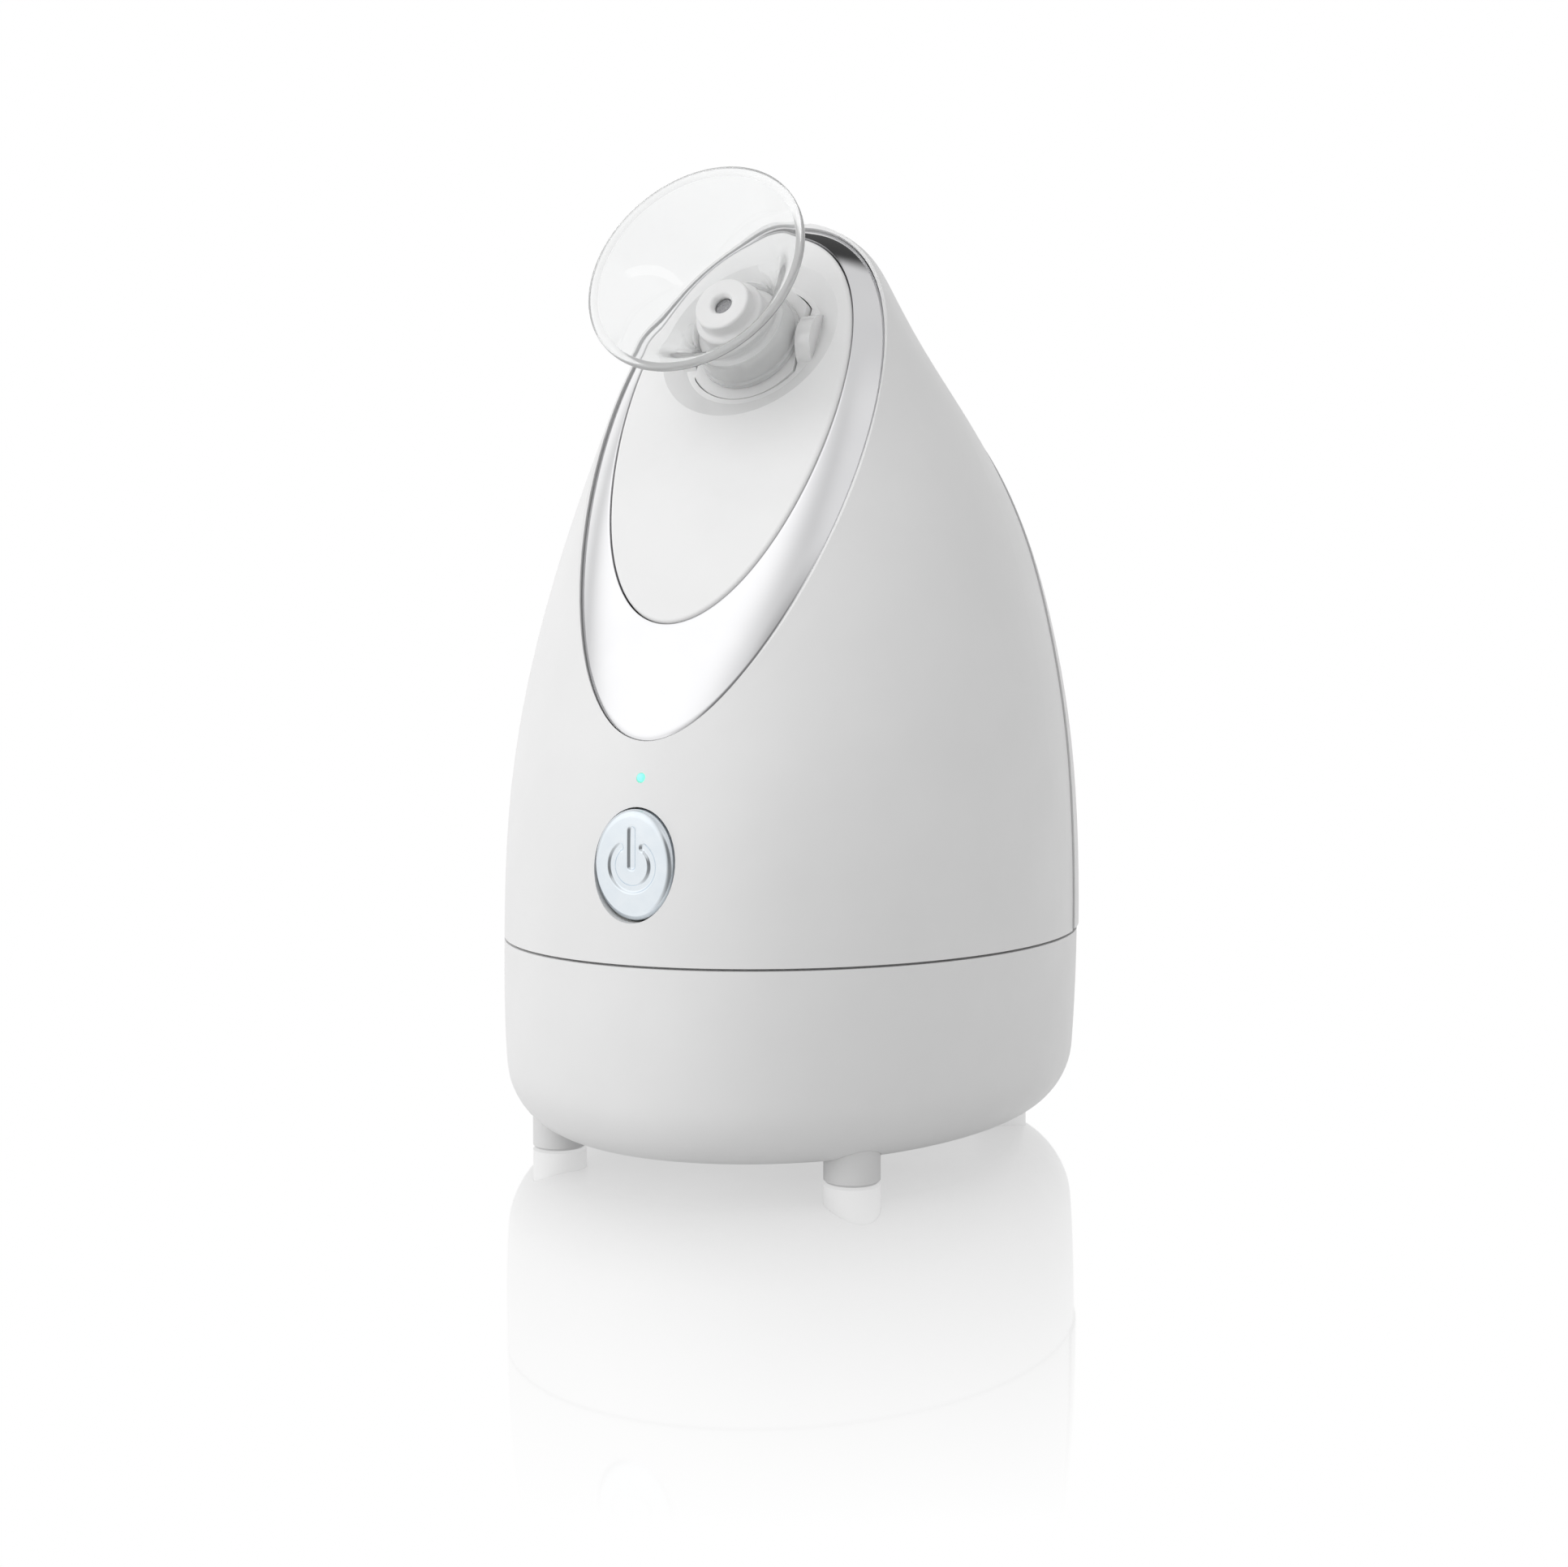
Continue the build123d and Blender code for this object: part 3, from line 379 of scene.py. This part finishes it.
# ---- Power button ----
# An oval key moulded in ABS and plated in cool satin chrome, its face slightly domed with a
# rounded edge. The power sign is pressed into it as a round-bottomed groove.
BUTTON_Z = 75.7
BUTTON_HALF_WIDTH = 10.35
BUTTON_HALF_HEIGHT = 12.85
BUTTON_FRONT = -85.6
BUTTON_DOME = 0.35
BUTTON_EDGE = 1.5
SIGN_DROP = 0.15
SIGN_RADIUS = 5.3
SIGN_LINE = 1.7
SIGN_GAP = 3.1
SIGN_BAR = 8.2
SIGN_DEPTH = 0.55
SIGN_WALL = 0.7

BUTTON_CHROME, tree, shader, place = blank("cool_satin_chrome", 0.16, Metallic=1.0)
two_tone(tree, place, shader, (0.84, 0.89, 0.93), (0.79, 0.85, 0.90), 260)
uneven_gloss(tree, place, shader, 0.14, 0.22, 700)
relief(tree, place, shader, 1500, 0.00001, 0.15)


def smooth_rise(share):
    """An even rise from 0 to 1 that starts and ends level."""
    share = max(0.0, min(1.0, share))
    return share * share * (3 - 2 * share)


def sign_distance(x, z):
    """How far a point is from the middle line of the power sign, less half the line."""
    drop = z + SIGN_DROP
    away = hypot(x, drop)
    opening = abs(x) < SIGN_GAP and drop > 0
    arc_end = sqrt(SIGN_RADIUS ** 2 - SIGN_GAP ** 2)
    arc = hypot(abs(x) - SIGN_GAP, drop - arc_end) if opening else abs(away - SIGN_RADIUS)
    bar = hypot(x, max(0.0, -drop, drop - SIGN_BAR))
    return min(arc, bar) - SIGN_LINE / 2


def button_face():
    """The key's domed face with its sunk sign and rounded edge, and its side wall."""
    rings, spokes = 76, 180
    points, faces = [(0, BUTTON_FRONT + SIGN_DEPTH, BUTTON_Z)], []
    for ring in range(1, rings + 1):
        share = ring / rings
        for spoke in range(spokes):
            turn = 2 * pi * spoke / spokes
            x, z = BUTTON_HALF_WIDTH * share * cos(turn), BUTTON_HALF_HEIGHT * share * sin(turn)
            edge = max(0.0, (share - 1) * BUTTON_HALF_WIDTH + BUTTON_EDGE) / BUTTON_EDGE
            sink = BUTTON_EDGE * (1 - sqrt(max(0.0, 1 - edge * edge))) + BUTTON_DOME * share * share
            sink += SIGN_DEPTH * smooth_rise(0.5 - sign_distance(x, z) / SIGN_WALL)
            points.append((x, BUTTON_FRONT + sink, BUTTON_Z + z))
    for spoke in range(spokes):
        faces.append((0, 1 + spoke, 1 + (spoke + 1) % spokes))
    for ring in range(1, rings):
        low, high = 1 + (ring - 1) * spokes, 1 + ring * spokes
        for spoke in range(spokes):
            after = (spoke + 1) % spokes
            faces.append((low + spoke, high + spoke, high + after, low + after))
    back = len(points)
    for spoke in range(spokes):
        x, y, z = points[1 + (rings - 1) * spokes + spoke]
        points.append((x, BUTTON_FRONT + 6, z))
        after = (spoke + 1) % spokes
        last = 1 + (rings - 1) * spokes
        faces.append((last + spoke, back + spoke, back + after, last + after))
    return points, faces


piece("power_key", *button_face(), BUTTON_CHROME, "button", "chrome_button", ["power_button"], sharp=60)


# ---- Indicator ----
# A rod of clear acrylic carries the light of a small lamp on the board out to a round domed
# lens that stands a little proud of the shell above the button.
BODY_STATIONS = (
    (23.0, 71.1, -88.2, 88.0, 0.0),
    (53.0, 72.3, -87.2, 87.6, 0.0),
    (80.0, 72.0, -84.6, 86.2, -0.6),
    (105.0, 70.3, -78.6, 82.9, -1.4),
    (130.0, 66.2, -70.6, 76.8, -1.4),
    (155.0, 59.6, -62.0, 65.8, -1.0),
    (180.0, 49.4, -53.8, 46.6, -4.0),
    (205.0, 36.6, -42.5, 25.6, -13.0),
    (216.0, 30.9, -36.0, 18.7, -13.6),
    (225.0, 24.6, -28.5, 13.6, -9.0),
    (231.0, 17.6, -21.5, 10.4, -5.4),
    (235.0, 10.2, -14.5, 8.2, -3.1),
    (236.6, 5.4, -9.6, 6.6, -2.0),
)
BOTTOM_RISE = 17.7
BOTTOM_DRAW = 15.2
LENS_Z = 95.6
LENS_RADIUS = 1.0
LENS_PROUD = 0.5
LAMP_GLOW, tree, shader, place = blank("lamp_lens_teal", 0.15, Transmission_Weight=0.2)
two_tone(tree, place, shader, (0.30, 0.92, 0.76), (0.20, 0.80, 0.66), 900)
shader.inputs["Emission Strength"].default_value = 0.40
shader.inputs["Emission Color"].default_value = (0.35, 1.0, 0.80, 1)


def body_levels():
    """Rounded bottom and body stations as one run of levels."""
    foot, width, front, rear, widest = BODY_STATIONS[0]
    levels = []
    for step in range(6):
        turn = radians(15 * step)
        draw_in = BOTTOM_DRAW * (1 - sin(turn))
        height = foot - BOTTOM_RISE * cos(turn)
        levels.append((height, width - draw_in, front + draw_in, rear - draw_in, widest))
    return levels + list(BODY_STATIONS)


LEVELS = body_levels()
RUN = [0.0]
for lower, upper in zip(LEVELS, LEVELS[1:]):
    RUN.append(RUN[-1] + hypot(upper[0] - lower[0], upper[1] - lower[1]))
FAIR = [batten(RUN, [level[column] for level in LEVELS]) for column in range(5)]


def level_at(height):
    """Half width, front, rear and widest line of the body at one height."""
    low, high = RUN[0], RUN[-1]
    for _ in range(40):
        middle = (low + high) / 2
        if FAIR[0](middle) < height:
            low = middle
        else:
            high = middle
    return [curve((low + high) / 2) for curve in FAIR[1:]]


def front_y(x, height):
    """Where the front skin lies at this width and height."""
    width, front, rear, widest = level_at(height)
    return widest - (widest - front) * sqrt(1 - (x / width) ** 2)


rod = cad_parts["light_pipe"]
ROD_BACK = -max((rod.matrix_world @ corner.co).y for corner in rod.data.vertices) / MM
ROD_FRONT = LENS_PROUD - front_y(0, LENS_Z)
LENS_DOME = [(LENS_RADIUS * sin(radians(18 * step)), ROD_FRONT - 0.6 * (1 - cos(radians(18 * step))))
             for step in range(6)]
LENS_PROFILE = LENS_DOME + [(LENS_RADIUS, ROD_BACK), (0, ROD_BACK)]
piece("light_rod", *turned(LENS_PROFILE, 48, Vector((0, 0, LENS_Z)), Vector((0, -1, 0))), LAMP_GLOW,
      "housing", "lamp", ["light_pipe"])
LAMP_BODY = moulded("lamp_body_clear", (0.7, 0.9, 0.88), 0.2, fade=0.9)
rehang(LAMP_BODY, "indicator_led")


# ---- Boards, wiring and screws ----
# Two small circuit boards, their parts and the round leads between them. The boards stand on
# posts and are held by pan-head steel screws.
BOARD_GREEN, tree, shader, place = blank("board_green", 0.35)
two_tone(tree, place, shader, (0.03, 0.22, 0.09), (0.015, 0.13, 0.05), 700)
relief(tree, place, shader, 800, 0.00004, 0.5, "ShaderNodeTexVoronoi")
rehang(BOARD_GREEN, "control_board", "power_board")

DARK_PLASTIC = moulded("dark_moulded", (0.035, 0.035, 0.038), 0.4, grain=0.00004, fade=0.7)
rehang(DARK_PLASTIC, "board_components", "boiler_frame", "mains_socket", "tact_switch")

STEEL, tree, shader, place = blank("plain_steel", 0.3, Metallic=1.0)
two_tone(tree, place, shader, (0.62, 0.61, 0.60), (0.50, 0.49, 0.48), 400)
uneven_gloss(tree, place, shader, 0.2, 0.4, 900)
rehang(STEEL, "housing_screws", "cradle_screws", "board_screws", "lid_screws", "dock_pin",
       "valve_spring", "button_spring", "valve_plunger", "thermostat", "thermal_fuse")

BRASS, tree, shader, place = blank("nickelled_brass", 0.25, Metallic=1.0)
two_tone(tree, place, shader, (0.78, 0.70, 0.50), (0.66, 0.58, 0.40), 500)
uneven_gloss(tree, place, shader, 0.18, 0.34, 800)
rehang(BRASS, "socket_pins")

rehang(moulded("lead_white", (0.78, 0.77, 0.74), 0.45, fade=0.9), "heater_leads")
rehang(moulded("lead_black", (0.03, 0.03, 0.03), 0.45, fade=0.7), "mains_leads")
rehang(moulded("lead_red", (0.55, 0.04, 0.03), 0.45, fade=0.8), "signal_leads")


# ---- Boiler ----
# A small cast aluminium pot with a flanged lid, a red silicone gasket between them and a
# heater plate below, all on a dark heat-proof frame.
CAST, tree, shader, place = blank("cast_aluminium", 0.4, Metallic=1.0)
two_tone(tree, place, shader, (0.72, 0.72, 0.73), (0.58, 0.58, 0.59), 300)
uneven_gloss(tree, place, shader, 0.32, 0.5, 900)
relief(tree, place, shader, 1200, 0.00008, 0.5)
rehang(CAST, "boiler_cup", "heater_plate", "boiler_lid")
rehang(moulded("red_silicone", (0.55, 0.06, 0.04), 0.5, grain=0.00003, fade=0.85), "boiler_gasket")


# ---- Tank cap and valve ----
# The cap under the tank, moulded in white, with the spring valve in its nose.
rehang(BODY_WHITE, "tank_cap", "spring_guide")


# ---- Studio ----
# A white sweep under soft light: a large box in front on the left, a fill from the right and
# a bright backdrop, with two dark cards for the chrome to mirror. The floor is polished only
# near the steamer.
def studio_floor():
    mesh = bpy.data.meshes.new("studio_floor")
    work = bmesh.new()
    bmesh.ops.create_grid(work, x_segments=8, y_segments=8, size=6.0)
    work.to_mesh(mesh)
    work.free()
    floor = bpy.data.objects.new("studio_floor", mesh)
    bpy.context.scene.collection.objects.link(floor)
    finish = bpy.data.materials.new("pale_polished_floor")
    finish.use_nodes = True
    tree = finish.node_tree
    tree.nodes.clear()
    place = tree.nodes.new("ShaderNodeTexCoord").outputs["Object"]
    spread = tree.nodes.new("ShaderNodeVectorMath")
    spread.operation = "LENGTH"
    tree.links.new(place, spread.inputs[0])
    polish = node(tree, "ShaderNodeMapRange", From_Min=0.06, From_Max=0.26, To_Min=0.58, To_Max=0.0)
    tree.links.new(spread.outputs["Value"], polish.inputs["Value"])
    eye = tree.nodes.new("ShaderNodeLightPath")
    direct = tree.nodes.new("ShaderNodeMath")
    direct.operation = "MAXIMUM"
    tree.links.new(eye.outputs["Is Camera Ray"], direct.inputs[0])
    tree.links.new(eye.outputs["Is Transmission Ray"], direct.inputs[1])
    side = tree.nodes.new("ShaderNodeVectorMath")
    side.operation = "NORMALIZE"
    tree.links.new(place, side.inputs[0])
    shaded = tree.nodes.new("ShaderNodeVectorMath")
    shaded.operation = "DOT_PRODUCT"
    shaded.inputs[1].default_value = (0.73, -0.68, 0)
    tree.links.new(side.outputs["Vector"], shaded.inputs[0])
    mirrored = node(tree, "ShaderNodeMapRange", From_Min=0.6, From_Max=0.97, To_Min=0.95, To_Max=0.25)
    tree.links.new(shaded.outputs["Value"], mirrored.inputs["Value"])
    indirect = tree.nodes.new("ShaderNodeMix")
    indirect.inputs["A"].default_value = 0.66
    tree.links.new(eye.outputs["Is Glossy Ray"], indirect.inputs["Factor"])
    tree.links.new(mirrored.outputs["Result"], indirect.inputs["B"])
    bounce = tree.nodes.new("ShaderNodeMix")
    bounce.inputs["B"].default_value = 1.0
    tree.links.new(direct.outputs["Value"], bounce.inputs["Factor"])
    tree.links.new(indirect.outputs["Result"], bounce.inputs["A"])
    glow = node(tree, "ShaderNodeEmission", Color=(1, 1, 1, 1))
    tree.links.new(bounce.outputs["Result"], glow.inputs["Strength"])
    gloss = node(tree, "ShaderNodeBsdfGlossy", Color=(1, 1, 1, 1), Roughness=0.04)
    blend = tree.nodes.new("ShaderNodeMixShader")
    out = tree.nodes.new("ShaderNodeOutputMaterial")
    tree.links.new(polish.outputs["Result"], blend.inputs[0])
    tree.links.new(glow.outputs["Emission"], blend.inputs[1])
    tree.links.new(gloss.outputs["BSDF"], blend.inputs[2])
    tree.links.new(blend.outputs["Shader"], out.inputs["Surface"])
    mesh.materials.append(finish)


studio_floor()

studio_air = bpy.data.worlds.new("studio_air")
bpy.context.scene.world = studio_air
studio_air.use_nodes = True
tree = studio_air.node_tree
tree.nodes.clear()
direction = tree.nodes.new("ShaderNodeTexCoord").outputs["Generated"]


def patch(toward, far, near, dim, bright):
    """A round soft-edged patch of the surroundings, centred on one direction."""
    aim = tree.nodes.new("ShaderNodeVectorMath")
    aim.operation = "DOT_PRODUCT"
    aim.inputs[1].default_value = Vector(toward).normalized()
    tree.links.new(direction, aim.inputs[0])
    fall = node(tree, "ShaderNodeMapRange", From_Min=far, From_Max=near, To_Min=dim, To_Max=bright)
    fall.interpolation_type = "SMOOTHSTEP"
    tree.links.new(aim.outputs["Value"], fall.inputs["Value"])
    return fall.outputs["Result"]


def joined(first, second, how):
    """Two shader values put together by one sum."""
    both = tree.nodes.new("ShaderNodeMath")
    both.operation = how
    tree.links.new(first, both.inputs[0])
    tree.links.new(second, both.inputs[1])
    return both.outputs["Value"]


KEY_SIDE = (-0.5, -0.67, 0.55)
RIGHT_GLEAM = (0.77, -0.22, 0.59)
LOW_BACKDROP = (-0.45, 0.89, 0.05)
DARK_CARD_ABOVE = (-0.23, 0.60, 0.77)
DARK_CARD_RIGHT = (0.73, -0.68, 0.05)
air = patch(KEY_SIDE, 0.50, 0.97, 0.68, 1.14)
air = joined(air, patch(RIGHT_GLEAM, 0.90, 0.99, 0.0, 0.12), "ADD")
air = joined(air, patch(LOW_BACKDROP, 0.45, 0.88, 0.0, 0.32), "ADD")
air = joined(air, patch(DARK_CARD_ABOVE, 0.88, 0.96, 1.0, 0.08), "MULTIPLY")
air = joined(air, patch(DARK_CARD_RIGHT, 0.82, 0.96, 1.0, 0.30), "MULTIPLY")
eye = tree.nodes.new("ShaderNodeLightPath")
seen = tree.nodes.new("ShaderNodeMix")
seen.inputs["B"].default_value = 1.0
tree.links.new(joined(eye.outputs["Is Camera Ray"], eye.outputs["Is Transmission Ray"], "MAXIMUM"),
               seen.inputs["Factor"])
tree.links.new(air, seen.inputs["A"])
sky = node(tree, "ShaderNodeBackground", Color=(1, 1, 1, 1))
tree.links.new(seen.outputs["Result"], sky.inputs["Strength"])
out = tree.nodes.new("ShaderNodeOutputWorld")
tree.links.new(sky.outputs["Background"], out.inputs["Surface"])


def soft_box(name, place, aim, size, power):
    """A square soft light that looks at a point."""
    light = bpy.data.lights.new(name, "AREA")
    light.shape = "RECTANGLE"
    light.size, light.size_y = size
    light.energy = power
    lamp = bpy.data.objects.new(name, light)
    bpy.context.scene.collection.objects.link(lamp)
    lamp.location = place
    lamp.rotation_mode = "QUATERNION"
    lamp.rotation_quaternion = (Vector(aim) - Vector(place)).to_track_quat("-Z", "Y")
    lamp.visible_glossy = False


soft_box("front_box", (-0.9, -1.3, 0.9), (0, 0, 0.12), (1.1, 1.1), 8)
soft_box("side_strip", (1.2, -0.6, 0.5), (0, 0, 0.12), (0.18, 0.9), 1.0)
bpy.context.scene.view_settings.view_transform = "Standard"


# ---- Camera ----
# Stands to the right of the front, a little under half the steamer's height, looking
# very slightly down.
CAMERA_PLACE = Vector((0.23716, -0.48014, 0.11830))
CAMERA_TURN = radians(26.658)
CAMERA_DIP = radians(2.968)
lens = bpy.data.cameras.new("camera")
lens.sensor_width = 36
lens.lens = 46.24
lens.clip_start, lens.clip_end = 0.01, 50
camera = bpy.data.objects.new("camera", lens)
bpy.context.scene.collection.objects.link(camera)
look = Vector((-sin(CAMERA_TURN) * cos(CAMERA_DIP), cos(CAMERA_TURN) * cos(CAMERA_DIP), -sin(CAMERA_DIP)))
camera.location = CAMERA_PLACE
camera.rotation_mode = "QUATERNION"
camera.rotation_quaternion = look.to_track_quat("-Z", "Y")
bpy.context.scene.camera = camera
